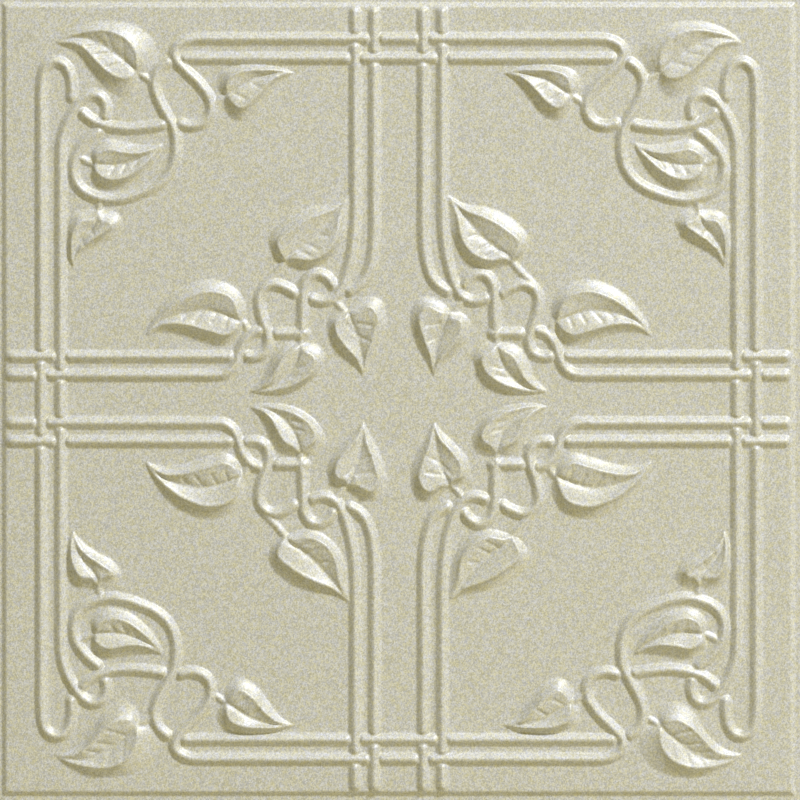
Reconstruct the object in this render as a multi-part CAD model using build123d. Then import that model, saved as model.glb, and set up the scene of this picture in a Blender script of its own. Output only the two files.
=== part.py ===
from build123d import *
import math
import os

# Polystyrene ceiling tile, stamped from one sheet with a vine and leaf relief.
# The tile lies on its back, face up: X and Y run along the sides, Z is up, and the
# origin is the middle of the flat back. Lengths are in millimetres.

# Sheet
tile_side = 500.0          # square stock size
field_thickness = 4.0      # pressed field between the raised parts
lip_width = 3.0            # thin flange round the outside, laid joint to joint
lip_drop = 2.2             # how far the flange lies below the field
bevel_run = 3.0            # width of the sloping shoulder between flange and field

# Vine
bead_width = 8.0           # vine at its foot
bead_height = 2.4          # vine crest above the field
stalk_scale = 0.62         # leaf stalks against the vine
crossing_gap = 7.2         # from an upper strand's crest to where the lower one stops
nose_length = 3.4          # the ramp at the end of a run
root = 0.8                 # every raised part starts this far inside the sheet

# Leaves
leaf_height = 5.2          # leaf rim above the field
rib_height = 1.0           # bottom of the fold along the middle of a leaf
leaf_flank = 6.5           # width of the slope from a leaf's foot to its rim
leaf_end_width = 3.0       # width of a leaf where it sinks into the sheet at its ends

# Straight strands, as distances from the tile's middle
pattern_side = 500.0       # the side that the pattern is drawn for
cross_inner_x = 15.2
cross_outer_x = 27.1
cross_inner_y = 14.8
cross_outer_y = 26.4
frame_inner_x = 210.2
frame_outer_x = 222.3
frame_inner_y = 211.8
frame_outer_y = 224.0
strand_end = 240.0         # the strands run out just inside the shoulder

pattern_scale = tile_side / pattern_side


def on_field(points, height=0.0):
    """Pattern points, drawn from the tile's middle, set on the pressed field."""
    return [
        Vector(x * pattern_scale, y * pattern_scale, field_thickness + height)
        for x, y in points
    ]


# Vine


def bead_section(place, along, scale=1.0, fullness=1.0):
    """The vine's cross-section: a low rounded bead whose base lies inside the sheet."""
    half = bead_width * scale / 2
    rise = bead_height * scale
    outline = [
        (-1.1 * half, -root),
        (-0.45 * half, rise),
        (0.45 * half, rise),
        (1.1 * half, -root),
    ]
    plane = Plane(origin=place, x_dir=Vector(0, 0, 1).cross(along), z_dir=along)
    shrunk = [(x * fullness, (y + root) * fullness - root) for x, y in outline]
    return plane * make_face(Polyline(*shrunk, close=True))


def nose(place, heading, scale):
    """The short ramp where a run of the vine dives under another strand."""
    ahead = place + heading * nose_length * scale
    return loft(
        [bead_section(place, heading, scale), bead_section(ahead, heading, scale, 0.4)],
        ruled=True,
    )


def vine_headings(places):
    """Which way the vine heads at each of its points, from the points either side."""
    headings = []
    for before, here, after in zip(places, places[1:], places[2:]):
        back = here - before
        ahead = after - here
        mean = back * (1 / back.length**2) + ahead * (1 / ahead.length**2)
        headings.append(mean.normalized())
    first = (places[1] - places[0]).normalized()
    last = (places[-1] - places[-2]).normalized()
    start = first * (2 * first.dot(headings[0])) - headings[0]
    end = last * (2 * last.dot(headings[-1])) - headings[-1]
    return [start] + headings + [end]


def arc_or_line(start, end, heading):
    """An arc that sets out with the given heading, or a line where it is straight."""
    if (end - start).get_angle(heading) < 0.2:
        return Line(start, end)
    return TangentArc(start, end, tangent=heading)


def vine_path(places):
    """The vine's centre line: two arcs, or a straight line, from each point to the next."""
    if len(places) == 2:
        return Line(*places)
    headings = vine_headings(places)
    pieces = []
    for start, end, out, into in zip(places, places[1:], headings, headings[1:]):
        chord = end - start
        spread = 2 * (1 - out.dot(into))
        if spread < 1e-9:
            pieces.append(Line(start, end))
            continue
        along = chord.dot(out + into)
        reach = (math.sqrt(along**2 + spread * chord.dot(chord)) - along) / spread
        join = (start + out * reach + end - into * reach) * 0.5
        pieces.append(arc_or_line(start, join, out))
        pieces.append(arc_or_line(join, end, pieces[-1] % 1))
    return Wire(pieces)


def vine_run(points, noses="both", scale=1.0):
    """One visible run of the vine, from where it comes up to where it dives under."""
    path = vine_path(on_field(points))
    run = sweep(bead_section(path @ 0, path % 0, scale), path=path)
    if noses in ("end", "both"):
        run += nose(path @ 1, path % 1, scale)
    if noses in ("start", "both"):
        run += nose(path @ 0, -(path % 0), scale)
    return run


def straight_runs():
    """Straight strands of the cross and the frame, woven where they meet."""
    gap = crossing_gap
    return [
        # top crossing
        vine_run([(cross_inner_x - gap, frame_outer_y), (0, frame_outer_y)], "start"),
        vine_run([(cross_outer_x - gap, frame_inner_y), (0, frame_inner_y)], "start"),
        vine_run([(130.8, frame_inner_y), (cross_outer_x + gap, frame_inner_y)]),
        vine_run([(cross_inner_x, frame_inner_y + gap), (cross_inner_x, strand_end)]),
        vine_run([(cross_outer_x, frame_outer_y + gap), (cross_outer_x, strand_end)]),
        # side crossing
        vine_run([(frame_outer_x, cross_outer_y - gap), (frame_outer_x, 0)], "start"),
        vine_run([(frame_inner_x, cross_inner_y - gap), (frame_inner_x, 0)], "start"),
        vine_run([(107, cross_outer_y), (frame_inner_x - gap, cross_outer_y)]),
        vine_run([(frame_inner_x + gap, cross_outer_y), (strand_end, cross_outer_y)]),
        vine_run([(frame_outer_x + gap, cross_inner_y), (strand_end, cross_inner_y)]),
    ]


def corner_runs():
    """The two frame strands where they loop round each other in a corner."""
    return [
        vine_run([(frame_outer_x, cross_outer_y + crossing_gap), (222.3, 178), (222.3, 190),
                  (219.5, 206), (211.5, 209.4), (204.4, 200.5), (203.3, 189.8)]),
        vine_run([(195.4, 177), (181, 169.8), (164, 168.3), (148.8, 170.1)]),
        vine_run([(cross_inner_x + crossing_gap, frame_outer_y), (112, 224), (121, 224),
                  (134.3, 221.8), (139.6, 214.7), (133.5, 205.2), (117, 184.5),
                  (120.5, 172.6), (133.6, 170.5)]),
        vine_run([(frame_inner_x, cross_inner_y + crossing_gap), (210.2, 140), (210.2, 150),
                  (206.5, 171), (197, 185.5), (188, 188.8), (182, 177.6)]),
        vine_run([(188.3, 164.9), (198, 155.5), (202.4, 141.5), (180, 123.9), (160, 128.3),
                  (139, 150.5), (139.6, 167), (152, 197), (145.4, 208.1)]),
    ]


def middle_runs():
    """The two cross strands where they turn and weave beside the tile's middle."""
    return [
        vine_run([(cross_outer_x, frame_outer_y - crossing_gap), (27.1, 132), (27.1, 120),
                  (29.2, 91), (35.6, 69.5), (45, 61), (52.1, 61.6)]),
        vine_run([(66.3, 67), (77.5, 71.2), (84.6, 67.5), (86.6, 57), (82, 41.5), (83, 29.5),
                  (92.4, 26.4)]),
        vine_run([(cross_inner_x, frame_inner_y - crossing_gap), (15.2, 118), (15.2, 106),
                  (18, 82), (28.6, 68)]),
        vine_run([(42, 72.6), (50.5, 77.7), (58.6, 71), (59.7, 52), (60.4, 41)], "start"),
        vine_run([(60.4, 40.9), (73.8, 40.7)], "end"),
        vine_run([(frame_outer_x - crossing_gap, cross_inner_y), (122, 14.8), (115, 14.8),
                  (103.6, 18.8), (98, 31.5), (88.2, 42)]),
    ]


def stalks():
    """Short stalks from the vine to the foot of each leaf."""
    routes = [
        [(152, 196.5), (165, 205)],
        [(199.8, 151.5), (194, 147.8), (187, 145.8)],
        [(116, 183.3), (105, 190.2)],
        [(185.5, 124), (187.3, 113)],
        [(84.5, 70.5), (76, 79), (68.5, 88)],
        [(95, 38), (94.6, 44.5), (100, 49)],
        [(60.4, 41), (61.5, 30)],
        [(40, 61.5), (30, 50)],
    ]
    return [vine_run(route, noses="none", scale=stalk_scale) for route in routes]


# Leaves


def leaf_row(rib, feet, fullness):
    """One row across a leaf: up to the rim, down to the fold, and the same again."""
    halves = []
    for foot in feet:
        inward = Vector(rib) - Vector(foot)
        rim = Vector(foot) + inward * min(leaf_flank / inward.length, 0.6)
        rise = leaf_height * fullness - root * (1 - fullness) / 3
        halves.append(on_field([foot], -root) + on_field([(rim.X, rim.Y)], rise))
    fold = on_field([rib], rib_height * fullness - root * (1 - fullness) / 2)
    under = on_field([rib], -root)
    return Wire(Polyline(*halves[0], *fold, *reversed(halves[1]), *under, close=True))


def leaf_end(point, start, end):
    """A small straight row, sunk in the sheet, that closes a leaf at its base or tip."""
    along = (Vector(end) - Vector(start)).normalized()
    feet = [
        (point[0] + along.Y * side, point[1] - along.X * side)
        for side in (-leaf_end_width / 2, leaf_end_width / 2)
    ]
    return leaf_row(point, feet, 0.0)


def leaf(base, tip, rib, left_foot, right_foot):
    """A leaf skinned over rows that fan out from its base and close at its tip."""
    rows = len(rib)
    sections = [leaf_end(base, base, rib[0])]
    for row in range(rows):
        fullness = math.sqrt(math.sin(math.pi * (row + 1) / (rows + 1)))
        sections.append(leaf_row(rib[row], [left_foot[row], right_foot[row]], fullness))
    sections.append(leaf_end(tip, rib[-1], tip))
    return Solid.make_loft(sections, ruled=True)


def corner_leaf():
    """The large leaf that points into the corner."""
    return leaf(
        base=(163, 203), tip=(214, 221),
        rib=[(165.5, 206), (169, 209), (175, 214), (184, 220), (196, 224.6)],
        left_foot=[(153, 204.5), (149.5, 216), (160, 230.5), (178, 235), (198, 232.8)],
        right_foot=[(162, 194), (169, 188), (182, 193), (190, 206), (198.5, 214.5)],
    )


def loop_leaf():
    """The leaf inside the corner loop."""
    return leaf(
        base=(189, 146), tip=(146, 159.5),
        rib=[(186.5, 145.7), (180, 145.3), (171, 146.2), (162, 149.3), (154, 153.5)],
        left_foot=[(191.5, 139), (185, 131), (170, 131.6), (159, 138.5), (149.5, 150.5)],
        right_foot=[(191.5, 153), (184, 161), (171, 160.2), (161, 158.3), (152, 158.5)],
    )


def frame_leaf():
    """The leaf that lies along the frame's long strand."""
    return leaf(
        base=(107.5, 188.8), tip=(64.8, 202.6),
        rib=[(103, 191), (97.5, 195), (91, 198.8), (83, 201.5), (75, 202.8)],
        left_foot=[(108.3, 181.5), (101, 173.2), (91, 176), (81.5, 187), (73, 198)],
        right_foot=[(112.5, 193.5), (112, 201), (100, 207.4), (86, 208), (74, 206.2)],
    )


def side_leaf():
    """The heart-shaped leaf below the corner loop."""
    return leaf(
        base=(187, 117.5), tip=(202.5, 81.5),
        rib=[(188, 110.5), (191, 106), (194.5, 102), (198, 97), (201, 91)],
        left_foot=[(194, 118), (202, 115.5), (205.8, 108), (206.2, 99), (205.8, 90)],
        right_foot=[(179.5, 118), (171.8, 111), (176, 102), (188, 94.8), (197.5, 87.5)],
    )


def upper_leaf():
    """The leaf that points up beside the cross strands."""
    return leaf(
        base=(70, 85), tip=(30.5, 127.5),
        rib=[(68, 89), (61, 93.5), (53, 100), (45.5, 108), (38.5, 117)],
        left_foot=[(65, 82.5), (55, 80.8), (41, 88.5), (33, 102), (30.8, 115)],
        right_foot=[(76, 88), (81, 98), (72, 111.5), (55, 119.5), (40, 124)],
    )


def arched_leaf():
    """The long arched leaf above the cross strands."""
    return leaf(
        base=(97.5, 48), tip=(157.8, 38.3),
        rib=[(101, 49.3), (109, 52.5), (120, 55), (133, 53.5), (146, 49)],
        left_foot=[(95, 54), (99, 66.5), (116, 74.6), (137, 68.3), (152, 52)],
        right_foot=[(99.5, 39.5), (106, 33.6), (118, 35.3), (133, 40), (149, 41.2)],
    )


def middle_side_leaf():
    """The heart-shaped leaf beside the tile's middle."""
    return leaf(
        base=(61, 34), tip=(93, 4.8),
        rib=[(62, 28.5), (64, 23), (67.5, 17), (72.5, 11.5), (80, 7)],
        left_foot=[(69, 35.2), (77.5, 30.5), (81.5, 22), (84.5, 14.5), (89, 8.3)],
        right_foot=[(52.5, 35), (45.8, 27.5), (49, 17), (59, 7.7), (75, 2.8)],
    )


def middle_leaf():
    """The leaf that points at the tile's middle."""
    return leaf(
        base=(31.5, 54.5), tip=(22, 13.5),
        rib=[(29.3, 48.5), (27.3, 44), (25.3, 38), (23.8, 32), (22.6, 25.5)],
        left_foot=[(38, 54.8), (44.3, 48), (43.2, 38.5), (35, 27.5), (26, 18.5)],
        right_foot=[(23, 62.8), (12, 62.5), (7.3, 50), (10, 37), (17, 23.5)],
    )


def leaves():
    """The eight leaves of one quarter of the pattern."""
    return [
        corner_leaf(),
        loop_leaf(),
        frame_leaf(),
        side_leaf(),
        upper_leaf(),
        arched_leaf(),
        middle_side_leaf(),
        middle_leaf(),
    ]


# Sheet


def quarter_sheet():
    """A quarter of the sheet: its flange, and the field inside a sloping shoulder."""
    half = tile_side / 2
    flange_thickness = field_thickness - lip_drop
    corner = (Align.MIN, Align.MIN, Align.MIN)
    flange = Box(half, half, flange_thickness, align=corner)
    foot = half - lip_width
    top = foot - bevel_run
    shoulder = loft([
        Pos(foot / 2, foot / 2, flange_thickness) * Rectangle(foot, foot),
        Pos(top / 2, top / 2, field_thickness) * Rectangle(top, top),
    ])
    return flange + shoulder


def tile():
    """The whole tile: the pattern is the same in all four quarters, mirrored."""
    quarter = quarter_sheet()
    for piece in leaves() + stalks() + middle_runs() + corner_runs() + straight_runs():
        quarter += piece
    half = quarter + mirror(quarter, about=Plane.YZ)
    return half + mirror(half, about=Plane.XZ)


if __name__ == "__main__":
    os.makedirs("parts", exist_ok=True)
    export_step(tile(), "parts/tile.step")
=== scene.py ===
import math

import bmesh
import bpy
import numpy as np
from mathutils import Matrix, Vector
from mathutils.bvhtree import BVHTree


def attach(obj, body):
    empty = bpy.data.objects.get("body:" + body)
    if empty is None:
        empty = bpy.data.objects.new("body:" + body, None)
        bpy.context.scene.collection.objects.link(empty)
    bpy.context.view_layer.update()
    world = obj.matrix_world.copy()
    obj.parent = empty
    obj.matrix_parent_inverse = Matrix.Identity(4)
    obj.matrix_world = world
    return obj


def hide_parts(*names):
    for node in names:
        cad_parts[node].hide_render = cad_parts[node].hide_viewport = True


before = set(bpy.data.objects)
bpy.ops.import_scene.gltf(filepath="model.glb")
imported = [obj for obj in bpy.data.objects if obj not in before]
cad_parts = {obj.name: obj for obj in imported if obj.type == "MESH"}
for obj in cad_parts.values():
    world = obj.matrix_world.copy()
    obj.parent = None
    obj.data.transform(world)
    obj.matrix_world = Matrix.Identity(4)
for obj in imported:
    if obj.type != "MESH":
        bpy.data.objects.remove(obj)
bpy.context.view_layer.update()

# Vine. On the real tile it is a rounded bead pressed up out of the sheet, about 8 mm wide,
# whose strands cross over and under each other. Here each visible run is a flowing line
# through points of one quarter of the pattern, in millimetres from the tile's middle.


def headings(points):
    """The direction at each point of a flowing line, from the points on either side."""
    back = points[1:-1] - points[:-2]
    ahead = points[2:] - points[1:-1]
    mean = back / (back**2).sum(1, keepdims=True) + ahead / (ahead**2).sum(1, keepdims=True)
    mean /= np.linalg.norm(mean, axis=1, keepdims=True)
    first = points[1] - points[0]
    last = points[-1] - points[-2]
    first /= np.linalg.norm(first)
    last /= np.linalg.norm(last)
    start = first * (2 * first @ mean[0]) - mean[0]
    end = last * (2 * last @ mean[-1]) - mean[-1]
    return np.vstack([start, mean, end])


def flowing_line(points, steps):
    """A smooth line through the points, with the same number of steps between each two."""
    points = np.array(points, float)
    if len(points) == 2:
        return points[0] + (points[1] - points[0]) * np.linspace(0, 1, steps + 1)[:, None]
    heading = headings(points)
    part = np.linspace(0, 1, steps, endpoint=False)[:, None]
    pieces = []
    for start, end, out, into in zip(points, points[1:], heading, heading[1:]):
        reach = np.linalg.norm(end - start)
        pieces.append(
            (2 * part**3 - 3 * part**2 + 1) * start
            + (part**3 - 2 * part**2 + part) * out * reach
            + (3 * part**2 - 2 * part**3) * end
            + (part**3 - part**2) * into * reach
        )
    pieces.append(points[-1:])
    return np.vstack(pieces)


gap = 7.2  # from an upper strand's crest to where the lower one is drawn to
strand_half_width = 4.15
strand_height = 2.75
strand_reach = 1.9  # how much further a lower strand runs in under the upper one
stalk_half_width = 2.8
stalk_height = 1.5
crest_share = 0.16  # radius of the rounded crest against half the width
flank_bend = 1.12  # 1 is a straight flank
line_steps = 80
least_steps = 8  # between two points, however many points a line has

corner_strands = [
    [(222.3, 26.4 + gap), (222.3, 178)],
    [(222.3, 178), (222.3, 190), (221.7, 199), (219.5, 206), (214, 209.6), (208.5, 208.2),
     (205, 203.3), (203.4, 196), (203.3, 189.8)],
    [(195.4, 177), (190.5, 173.3), (181, 169.8), (170, 168.2), (158, 168.8), (148.8, 170.1)],
    [(15.2 + gap, 224), (112, 224)],
    [(112, 224), (121, 224), (128.5, 223.6), (134.3, 221.8), (138, 219), (139.6, 214.7),
     (137.6, 209.6), (133.5, 205.2), (123.5, 195.3), (117, 184.5), (117, 178),
     (120.5, 172.6), (126.5, 170.1), (133.6, 170.5)],
    [(210.2, 14.8 + gap), (210.2, 140)],
    [(210.2, 140), (210.2, 150), (209.4, 161.5), (206.5, 171), (202, 179), (197, 185.5),
     (191, 188.9), (185.6, 187.9), (182.3, 183), (182, 177.6)],
    [(188.3, 164.9), (193, 161), (198, 155.5), (201.5, 149), (202.4, 141.5), (200.8, 135),
     (196.8, 130), (189.5, 126), (180, 123.9), (170, 125), (160, 128.3), (151.5, 132.2),
     (145.5, 137), (141.2, 143.2), (139, 150.5), (138.5, 160), (139.6, 167), (143.5, 175),
     (148, 183), (151, 190), (152, 197), (150.3, 202.8), (145.4, 208.1)],
]
middle_strands = [
    [(27.1, 224 - gap), (27.1, 132)],
    [(27.1, 132), (27.1, 120), (27.7, 104), (29.2, 91), (32, 79.5), (35.6, 69.5),
     (39.5, 63.6), (45, 61), (52.1, 61.6)],
    [(66.3, 67), (71.5, 69.8), (77.5, 71.2), (83, 69.4), (86.4, 64.5), (86.6, 57),
     (84.6, 49), (82, 41.5), (81, 35), (83, 29.5), (87.5, 26.7), (92.4, 26.4)],
    [(15.2, 211.8 - gap), (15.2, 118)],
    [(15.2, 118), (15.2, 106), (16, 93), (18, 82), (21.5, 74), (28.6, 68)],
    [(42, 72.6), (45.8, 76.3), (50.5, 77.7), (55.3, 76), (58.6, 71), (59.5, 63),
     (59.7, 52), (60.4, 41)],
    [(60.4, 40.9), (73.8, 40.7)],
    [(222.3 - gap, 14.8), (122, 14.8)],
    [(122, 14.8), (115, 14.8), (108.5, 15.6), (103.6, 18.8), (100.4, 24.5), (98, 31.5),
     (95, 37.2), (91.5, 40.6), (88.2, 42)],
]
crossing_strands = [
    [(15.2 - gap, 224), (-9, 224)],
    [(27.1 - gap, 211.8), (-9, 211.8)],
    [(130.8, 211.8), (27.1 + gap, 211.8)],
    [(15.2, 211.8 + gap), (15.2, 238.6)],
    [(27.1, 224 + gap), (27.1, 238.6)],
    [(222.3, 26.4 - gap), (222.3, -9)],
    [(210.2, 14.8 - gap), (210.2, -9)],
    [(107, 26.4), (210.2 - gap, 26.4)],
    [(210.2 + gap, 26.4), (238.6, 26.4)],
    [(222.3 + gap, 14.8), (238.6, 14.8)],
]
leaf_stalks = [
    [(152, 196.5), (165, 205)],
    [(199.8, 151.5), (194, 147.8), (187, 145.8)],
    [(116, 183.3), (105, 190.2)],
    [(185.5, 124), (187.3, 113)],
    [(84.5, 70.5), (76, 79), (68.5, 88)],
    [(95, 38), (94.6, 44.5), (100, 49)],
    [(60.4, 41), (61.5, 30)],
    [(40, 61.5), (30, 50)],
]


def lengthened(line, reach):
    """The line run straight on by the reach at both ends."""
    start = line[0] - line[1]
    end = line[-1] - line[-2]
    start = line[0] + start / np.linalg.norm(start) * reach
    end = line[-1] + end / np.linalg.norm(end) * reach
    return np.vstack([start, line, end])


def bead(spots, points, half_width, height, reach=0.0):
    """How high a strand stands at each spot: straight flanks and a rounded crest."""
    line = flowing_line(points, max(least_steps, int(line_steps / len(points))))
    if reach:
        line = lengthened(line, reach)
    starts = line[:-1]
    steps = np.diff(line, axis=0)
    nearest = np.full(len(spots), np.inf)
    low = line.min(0) - half_width
    high = line.max(0) + half_width
    close = np.flatnonzero(((spots > low) & (spots < high)).all(1))
    spots_at_once = 4000
    for group in np.array_split(close, max(1, len(close) // spots_at_once)):
        offset = spots[group][:, None] - starts
        share = np.clip((offset * steps).sum(2) / (steps**2).sum(1), 0, 1)
        away = offset - share[..., None] * steps
        nearest[group] = np.sqrt((away**2).sum(2).min(1))
    crest = crest_share * half_width
    slope = (np.sqrt(nearest**2 + crest**2) - crest) / (math.hypot(half_width, crest) - crest)
    return height * (1 - np.clip(slope, 0, 1) ** flank_bend)


# Leaves. On the real tile they are pressed up with the vine: two pillowed halves with a
# rounded rim and a fold along the rib between them. Here each is drawn by its rib, its
# rims and its feet from base to tip, and skinned across.

rim_height = 5.0
rib_height = 0.9
flank_start = 3.6  # the part of the rim's height that the flank gains evenly
rim_line_half_width = 1.4
rim_line_height = 0.5
vein_half_width = 1.3
vein_depth = 0.9
faint_vein_depth = 0.45
base_swell = 0.28  # the base end of a leaf rises faster than its tip
tip_swell = 0.5
full_bow = 0.75  # below 1, a half stays high and then drops steeply to the rib
folded_bow = 0.85
lobe_bow = 0.5  # taken off towards the base, where both halves are round lobes
lobe_end = 0.6
lobe_fade = 0.35
skin_steps = 14
skin_rows = 9
vein_floor = 1.5  # veins and rim lines show only where a leaf is higher than this

leaf_lines = [
    dict(full_half="right", base=(163, 203), tip=(214, 221),
         rib=[(165.5, 206), (169, 209), (175, 214), (184, 220), (196, 224.6)],
         left_rim=[(162.5, 207.5), (163.5, 215.5), (169.5, 223.8), (181, 228.8), (196, 227.8)],
         left_foot=[(153, 204.5), (149.5, 216), (160, 230.5), (178, 235), (198, 232.8)],
         right_rim=[(166.5, 200), (173, 199.5), (181, 203.5), (188, 209.5), (197, 219)],
         right_foot=[(162, 194), (169, 188), (182, 193), (190, 206), (198.5, 214.5)]),
    dict(full_half="left", base=(189, 146), tip=(146, 159.5),
         rib=[(186.5, 145.7), (180, 145.3), (171, 146.2), (162, 149.3), (154, 153.5)],
         left_rim=[(188, 141.5), (182, 136.8), (171, 137.3), (162, 142.8), (154, 150)],
         left_foot=[(191.5, 139), (185, 131), (170, 131.6), (159, 138.5), (149.5, 150.5)],
         right_rim=[(188, 151), (181, 155), (171, 153.4), (162, 152.8), (155, 154.3)],
         right_foot=[(191.5, 153), (184, 161), (171, 160.2), (161, 158.3), (152, 158.5)]),
    dict(full_half="left", base=(107.5, 188.8), tip=(64.8, 202.6),
         rib=[(103, 191), (97.5, 195), (91, 198.8), (83, 201.5), (75, 202.8)],
         left_rim=[(104, 185), (99, 181), (91, 185.5), (84, 193.5), (75.5, 200.5)],
         left_foot=[(108.3, 181.5), (101, 173.2), (91, 176), (81.5, 187), (73, 198)],
         right_rim=[(107, 193.5), (104.5, 200), (96, 203.8), (86, 204.4), (76, 204.2)],
         right_foot=[(112.5, 193.5), (112, 201), (100, 207.4), (86, 208), (74, 206.2)]),
    dict(full_half="right", base=(187, 117.5), tip=(202.5, 81.5),
         rib=[(188, 110.5), (191, 106), (194.5, 102), (198, 97), (201, 91)],
         left_rim=[(190.5, 111.2), (197, 110.6), (201.5, 105), (203.3, 99), (203.5, 91)],
         left_foot=[(194, 118), (202, 115.5), (205.8, 108), (206.2, 99), (205.8, 90)],
         right_rim=[(184.5, 111), (178.5, 108.5), (184, 103.4), (191, 99), (198, 93)],
         right_foot=[(179.5, 118), (171.8, 111), (176, 102), (188, 94.8), (197.5, 87.5)]),
    dict(full_half="left", base=(70, 85), tip=(30.5, 127.5),
         rib=[(68, 89), (61, 93.5), (53, 100), (45.5, 108), (38.5, 117)],
         left_rim=[(65, 87.3), (57, 86), (46, 90), (39.5, 99), (37.2, 112)],
         left_foot=[(65, 82.5), (55, 80.8), (41, 88.5), (33, 102), (30.8, 115)],
         right_rim=[(73, 90), (75, 96), (66, 105.5), (53, 113), (41, 117.5)],
         right_foot=[(76, 88), (81, 98), (72, 111.5), (55, 119.5), (40, 122)]),
    dict(full_half="right", base=(97.5, 48), tip=(157.8, 38.3),
         rib=[(101, 49.3), (109, 52.5), (120, 55), (133, 53.5), (146, 49)],
         left_rim=[(99.8, 54), (104, 62.5), (116, 66.7), (131, 63), (146, 52.8)],
         left_foot=[(95, 54), (99, 66.5), (116, 74.6), (137, 68.3), (152, 52)],
         right_rim=[(101.5, 43.5), (107, 40), (118, 42.2), (132, 46), (147, 46.3)],
         right_foot=[(99.5, 39.5), (106, 33.6), (118, 35.3), (133, 40), (149, 41.2)]),
    dict(full_half="right", base=(61, 34), tip=(93, 4.8),
         rib=[(62, 28.5), (64, 23), (67.5, 17), (72.5, 11.5), (80, 7)],
         left_rim=[(65.5, 29.6), (71.5, 26), (75, 20), (78, 14), (83.5, 8.3)],
         left_foot=[(69, 35.2), (77.5, 30.5), (81.5, 22), (84.5, 14.5), (89, 8.3)],
         right_rim=[(57.5, 29.2), (52, 25), (54, 17), (62, 10.3), (73.5, 6.3)],
         right_foot=[(52.5, 35), (45.8, 27.5), (49, 17), (59, 7.7), (75, 2.8)]),
    dict(full_half="right", base=(31.5, 54.5), tip=(22, 13.5),
         rib=[(29.3, 48.5), (27.3, 44), (25.3, 38), (23.8, 32), (22.6, 25.5)],
         left_rim=[(33, 50.5), (38.5, 48.5), (38.6, 41), (33, 32.5), (26, 25)],
         left_foot=[(38, 54.8), (44.3, 48), (43.2, 38.5), (35, 27.5), (26, 18.5)],
         right_rim=[(26, 53.5), (19, 57.5), (13, 51), (15, 40), (19.5, 27.5)],
         right_foot=[(23, 62.8), (12, 62.5), (7.3, 50), (10, 37), (17, 23.5)]),
]
leaf_veins = [
    [(170.5, 209), (181.5, 206)], [(177.2, 215.2), (187.5, 214)], [(187, 220), (194, 218.8)],
    [(161.8, 148.7), (164.6, 143.5)], [(169, 145.5), (172, 140.8)], [(176, 145), (179.2, 140.4)],
    [(85.8, 193.1), (91, 196)], [(95.2, 186.6), (101.7, 189.6)],
    [(191.6, 105.9), (189.3, 101.5)], [(197.2, 98.9), (195.4, 95.4)],
    [(43.9, 101.2), (49.5, 102)], [(50, 93), (58.2, 97)], [(54.5, 88.8), (62.5, 92.5)],
    [(105.7, 51), (108, 45)], [(112.8, 53.3), (116.4, 47.5)], [(121.2, 54.6), (127, 48)],
    [(129.6, 54.4), (134.2, 49.9)],
    [(58.8, 20.4), (64, 18.7)], [(61, 15), (66.5, 13.4)],
    [(16.7, 45.5), (26, 47)], [(17.8, 35.6), (25, 39)], [(32.5, 47), (27.6, 41)],
]
faint_veins = [
    [(170.1, 210), (171.7, 226)], [(177.5, 217), (181.6, 227)], [(184, 221), (189.6, 226.5)],
]


def leaf_skin(full_half, base, tip, rib, left_rim, left_foot, right_rim, right_foot):
    """The points of a leaf's upper side, in rows that run across it from base to tip."""
    lines = [
        flowing_line([base] + line + [tip], skin_steps)
        for line in (left_foot, left_rim, rib, right_rim, right_foot)
    ]
    share = np.linspace(0, 1, len(lines[0]))
    swell = np.where(share < 0.5, base_swell, tip_swell)
    full = np.sin(np.pi * share).clip(0, 1) ** swell
    lobe = np.clip((lobe_end - share) / lobe_fade, 0, 1)
    rise = np.linspace(0, 1, skin_rows)
    flank_top = rim_height - flank_start
    fold_depth = rim_height - rib_height
    columns = []
    for side, foot, rim in (("left", lines[0], lines[1]), ("right", lines[4], lines[3])):
        bow = (full_bow if side == full_half else folded_bow) - lobe_bow * lobe
        half = []
        for part in rise[:-1]:
            place = foot + (rim - foot) * part
            half.append((place, full * (flank_start * part + flank_top * part**3)))
        for part in rise:
            place = rim + (lines[2] - rim) * part
            half.append((place, full * (rib_height + fold_depth * (1 - part) ** bow)))
        columns.append(half)
    across = columns[0] + columns[1][::-1][1:]
    return np.stack([np.column_stack(column) for column in across], axis=1)


def leaf_heights(spots):
    """How high the leaves stand at each spot."""
    corners = []
    faces = []
    for lines in leaf_lines:
        skin = leaf_skin(**lines)
        rows, across = skin.shape[:2]
        first = len(corners)
        corners.extend(skin.reshape(-1, 3).tolist())
        for row in range(rows - 1):
            for column in range(across - 1):
                here = first + row * across + column
                faces.append((here, here + 1, here + across + 1, here + across))
    skins = BVHTree.FromPolygons(corners, faces)
    heights = np.zeros(len(spots))
    down = Vector((0, 0, -1))
    above = 50
    for index, spot in enumerate(spots):
        hit = skins.ray_cast(Vector((spot[0], spot[1], above)), down)[0]
        if hit is not None:
            heights[index] = hit.z
    return heights


# Sheet. The real tile is one square of polystyrene foam pressed between dies: a 4 mm
# field, a thin flange round the outside and the relief, with a flat back. Here a quarter
# is a grid, finer under the relief, raised, closed by its sides and back, and mirrored.

half_side = 250.0
flange_height = 1.8
flange_width = 3.0
shoulder_width = 3.0
shoulder_height = 2.2  # up from the flange to the 4 mm field
cells = 132  # along a quarter's side, each cut in three under the relief
edge_band = 7.2  # the flange and shoulder are cut finer too
leaf_smoothings = 3
ease = 0.5
to_metres = 1 / 1000
wall_normal = 0.2  # faces that look less upwards than this are walls


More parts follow.
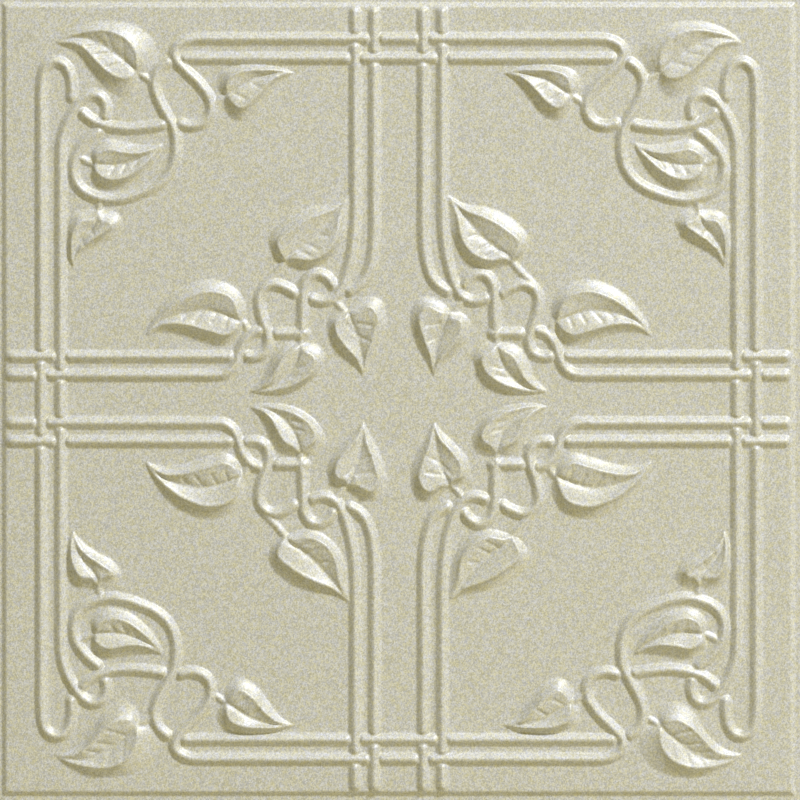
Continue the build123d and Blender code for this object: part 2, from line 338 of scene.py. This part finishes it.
def relief_at(spots):
    """How high the pressed relief stands above the field at each spot."""
    relief = leaf_heights(spots)
    veins = np.zeros(len(spots))
    for vein in leaf_veins:
        veins = np.maximum(veins, bead(spots, vein, vein_half_width, vein_depth))
    for vein in faint_veins:
        veins = np.maximum(veins, bead(spots, vein, vein_half_width, faint_vein_depth))
    for leaf in leaf_lines:
        for rim in ("left_rim", "right_rim"):
            line = bead(spots, leaf[rim], rim_line_half_width, rim_line_height)
            relief += line * (relief > vein_floor)
    relief -= veins * (relief > vein_floor)
    for strand in corner_strands + middle_strands + crossing_strands:
        rise = bead(spots, strand, strand_half_width, strand_height, strand_reach)
        relief = np.maximum(relief, rise)
    for stalk in leaf_stalks:
        relief = np.maximum(relief, bead(spots, stalk, stalk_half_width, stalk_height))
    return relief


quarter = bmesh.new()
bmesh.ops.create_grid(
    quarter, x_segments=cells, y_segments=cells, size=half_side / 2,
    matrix=Matrix.Translation((half_side / 2, half_side / 2, 0)),
)
quarter.verts.ensure_lookup_table()
quarter.faces.ensure_lookup_table()
spots = np.array([vertex.co.xy for vertex in quarter.verts])
middles = np.array([face.calc_center_median().xy for face in quarter.faces])
raised = (relief_at(spots) > 0) | (spots.max(1) > half_side - edge_band)
raised_middle = relief_at(middles) > 0
raised_face = [
    raised_middle[face.index] or any(raised[vertex.index] for vertex in face.verts)
    for face in quarter.faces
]
fine = [
    edge for edge in quarter.edges if any(raised_face[face.index] for face in edge.link_faces)
]
bmesh.ops.subdivide_edges(quarter, edges=fine, cuts=2, use_grid_fill=True)
quarter.verts.ensure_lookup_table()
spots = np.array([vertex.co.xy for vertex in quarter.verts])
relief = relief_at(spots)
for vertex, rise in zip(quarter.verts, relief):
    vertex.co.z = rise
bmesh.ops.smooth_vert(
    quarter, verts=[vertex for vertex, rise in zip(quarter.verts, relief) if rise > 0],
    factor=ease, use_axis_z=True,
)
pillowed = [vertex for vertex, rise in zip(quarter.verts, leaf_heights(spots)) if rise > 0]
for smoothing in range(leaf_smoothings):
    bmesh.ops.smooth_vert(quarter, verts=pillowed, factor=ease, use_axis_z=True)
inset = half_side - spots.max(1)
shoulder = np.clip((inset - flange_width) / shoulder_width, 0, 1)
for vertex, sheet in zip(quarter.verts, flange_height + shoulder_height * shoulder):
    vertex.co.z += sheet
rim = [edge for edge in quarter.edges if edge.is_boundary]
walls = bmesh.ops.extrude_edge_only(quarter, edges=rim)["geom"]
for part in walls:
    if isinstance(part, bmesh.types.BMVert):
        part.co.z = 0
back = [edge for edge in walls if isinstance(edge, bmesh.types.BMEdge)]
bmesh.ops.contextual_create(quarter, geom=[edge for edge in back if edge.is_boundary])
quarter.normal_update()
for face in quarter.faces:
    face.smooth = abs(face.normal.z) > wall_normal
for edge in rim:
    edge.smooth = False

paint = bpy.data.materials.new("pearl_paint")
for name, flip_x, flip_y in (
    ("relief_right_top", 1, 1),
    ("relief_left_top", -1, 1),
    ("relief_left_bottom", -1, -1),
    ("relief_right_bottom", 1, -1),
):
    turned = quarter.copy()
    size = (flip_x * to_metres, flip_y * to_metres, to_metres)
    bmesh.ops.scale(turned, vec=size, verts=turned.verts)
    bmesh.ops.recalc_face_normals(turned, faces=turned.faces)
    data = bpy.data.meshes.new(name)
    turned.to_mesh(data)
    turned.free()
    data.materials.append(paint)
    piece = bpy.data.objects.new(name, data)
    bpy.context.collection.objects.link(piece)
    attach(piece, "root")
    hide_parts("tile")
quarter.free()

# Paint. The foam is finished with a satin pearl paint in beige, full of fine flakes that
# catch the light in faint colours. Here the flakes are small cells of colour mixed into
# the base, over a faintly uneven foam skin.

flakes_per_metre = 1450
warm_base = (0.58, 0.55, 0.355, 1)
cool_base = (0.57, 0.585, 0.655, 1)
darkest_flake = 0.76
lightest_flake = 1.24
drift_per_metre = 320  # the slow change of hue that the flakes are mixed with
drift_share = 0.5
bumps_per_metre = 420
bump_depth = 0.0004

flakes = bpy.data.node_groups.new("pearl_flakes", "ShaderNodeTree")
flakes.interface.new_socket("Warm", in_out="INPUT", socket_type="NodeSocketColor")
flakes.interface.new_socket("Cool", in_out="INPUT", socket_type="NodeSocketColor")
flakes.interface.new_socket("Color", in_out="OUTPUT", socket_type="NodeSocketColor")
flakes.interface.new_socket("Height", in_out="OUTPUT", socket_type="NodeSocketFloat")
entry = flakes.nodes.new("NodeGroupInput")
leave = flakes.nodes.new("NodeGroupOutput")
place = flakes.nodes.new("ShaderNodeTexCoord")
cell = flakes.nodes.new("ShaderNodeTexVoronoi")
cell.inputs["Scale"].default_value = flakes_per_metre
parts = flakes.nodes.new("ShaderNodeSeparateColor")
drift = flakes.nodes.new("ShaderNodeTexNoise")
drift.inputs["Scale"].default_value = drift_per_metre
drift.inputs["Detail"].default_value = 4
cast = flakes.nodes.new("ShaderNodeMapRange")
cast.inputs["From Min"].default_value = 0.35
cast.inputs["From Max"].default_value = 0.65
both = flakes.nodes.new("ShaderNodeMix")
both.inputs["Factor"].default_value = drift_share
hue = flakes.nodes.new("ShaderNodeMix")
hue.data_type = "RGBA"
shade = flakes.nodes.new("ShaderNodeMapRange")
shade.inputs["To Min"].default_value = darkest_flake
shade.inputs["To Max"].default_value = lightest_flake
speck = flakes.nodes.new("ShaderNodeVectorMath")
speck.operation = "SCALE"
skin = flakes.nodes.new("ShaderNodeTexNoise")
skin.inputs["Scale"].default_value = bumps_per_metre
skin.inputs["Detail"].default_value = 3
flakes.links.new(place.outputs["Object"], cell.inputs["Vector"])
flakes.links.new(place.outputs["Object"], skin.inputs["Vector"])
flakes.links.new(cell.outputs["Color"], parts.inputs["Color"])
flakes.links.new(place.outputs["Object"], drift.inputs["Vector"])
flakes.links.new(drift.outputs["Fac"], cast.inputs["Value"])
flakes.links.new(parts.outputs["Red"], both.inputs["A"])
flakes.links.new(cast.outputs["Result"], both.inputs["B"])
flakes.links.new(both.outputs["Result"], hue.inputs["Factor"])
flakes.links.new(entry.outputs["Warm"], hue.inputs["A"])
flakes.links.new(entry.outputs["Cool"], hue.inputs["B"])
flakes.links.new(parts.outputs["Green"], shade.inputs["Value"])
flakes.links.new(hue.outputs["Result"], speck.inputs["Vector"])
flakes.links.new(shade.outputs["Result"], speck.inputs["Scale"])
flakes.links.new(speck.outputs["Vector"], leave.inputs["Color"])
flakes.links.new(skin.outputs["Fac"], leave.inputs["Height"])

paint.use_nodes = True
shader = paint.node_tree.nodes["Principled BSDF"]
shader.inputs["Metallic"].default_value = 0.07
shader.inputs["Roughness"].default_value = 0.52
shader.inputs["Coat Weight"].default_value = 0.35
shader.inputs["Coat Roughness"].default_value = 0.4
finish = paint.node_tree.nodes.new("ShaderNodeGroup")
finish.node_tree = flakes
finish.inputs["Warm"].default_value = warm_base
finish.inputs["Cool"].default_value = cool_base
uneven = paint.node_tree.nodes.new("ShaderNodeBump")
uneven.inputs["Strength"].default_value = 0.15
uneven.inputs["Distance"].default_value = bump_depth
paint.node_tree.links.new(finish.outputs["Color"], shader.inputs["Base Color"])
paint.node_tree.links.new(finish.outputs["Height"], uneven.inputs["Height"])
paint.node_tree.links.new(uneven.outputs["Normal"], shader.inputs["Normal"])

# Floor, light and camera. The tile lies on a plain pale floor under a soft lamp that
# comes in from the top right, with a warm even fill, and the camera looks straight down.

floor_drop = 0.0002  # keeps the floor clear of the tile's back
view_width = 0.4976  # what the picture spans at the height of the field
view_centre = (0.00087, -0.00062)
view_height = 0.004
sensor_width = 36
lens = 200

bpy.ops.mesh.primitive_plane_add(size=6, location=(0, 0, 0))
floor = bpy.context.object
floor.name = "floor"
floor.data.transform(Matrix.Translation((0, 0, -floor_drop)))
pale = bpy.data.materials.new("pale_floor")
pale.use_nodes = True
matt = pale.node_tree.nodes["Principled BSDF"]
matt.inputs["Base Color"].default_value = (0.8, 0.8, 0.79, 1)
matt.inputs["Roughness"].default_value = 0.9
floor.data.materials.append(pale)

for name, size, energy, colour, place in (
    ("key", 1.0, 470, (0.84, 0.876, 1.0), (2.8, 4.65, 3.5)),
    ("fill", 1.6, 30, (1.0, 0.92, 0.66), (1.5, -2.4, 2.2)),
):
    lamp = bpy.data.objects.new(name, bpy.data.lights.new(name, "AREA"))
    lamp.data.size = size
    lamp.data.energy = energy
    lamp.data.color = colour
    lamp.location = place
    lamp.rotation_euler = (-Vector(place)).to_track_quat("-Z", "Y").to_euler()
    bpy.context.collection.objects.link(lamp)

world = bpy.data.worlds.new("world")
world.use_nodes = True
sky = world.node_tree.nodes["Background"]
sky.inputs["Color"].default_value = (1.0, 0.91, 0.5, 1)
sky.inputs["Strength"].default_value = 0.37
bpy.context.scene.world = world

camera = bpy.data.objects.new("camera", bpy.data.cameras.new("camera"))
camera.data.lens = lens
camera.data.sensor_width = sensor_width
camera.data.clip_end = 20
camera.location = (*view_centre, view_height + view_width / sensor_width * lens)
bpy.context.collection.objects.link(camera)
bpy.context.scene.camera = camera
bpy.context.scene.view_settings.view_transform = "Standard"
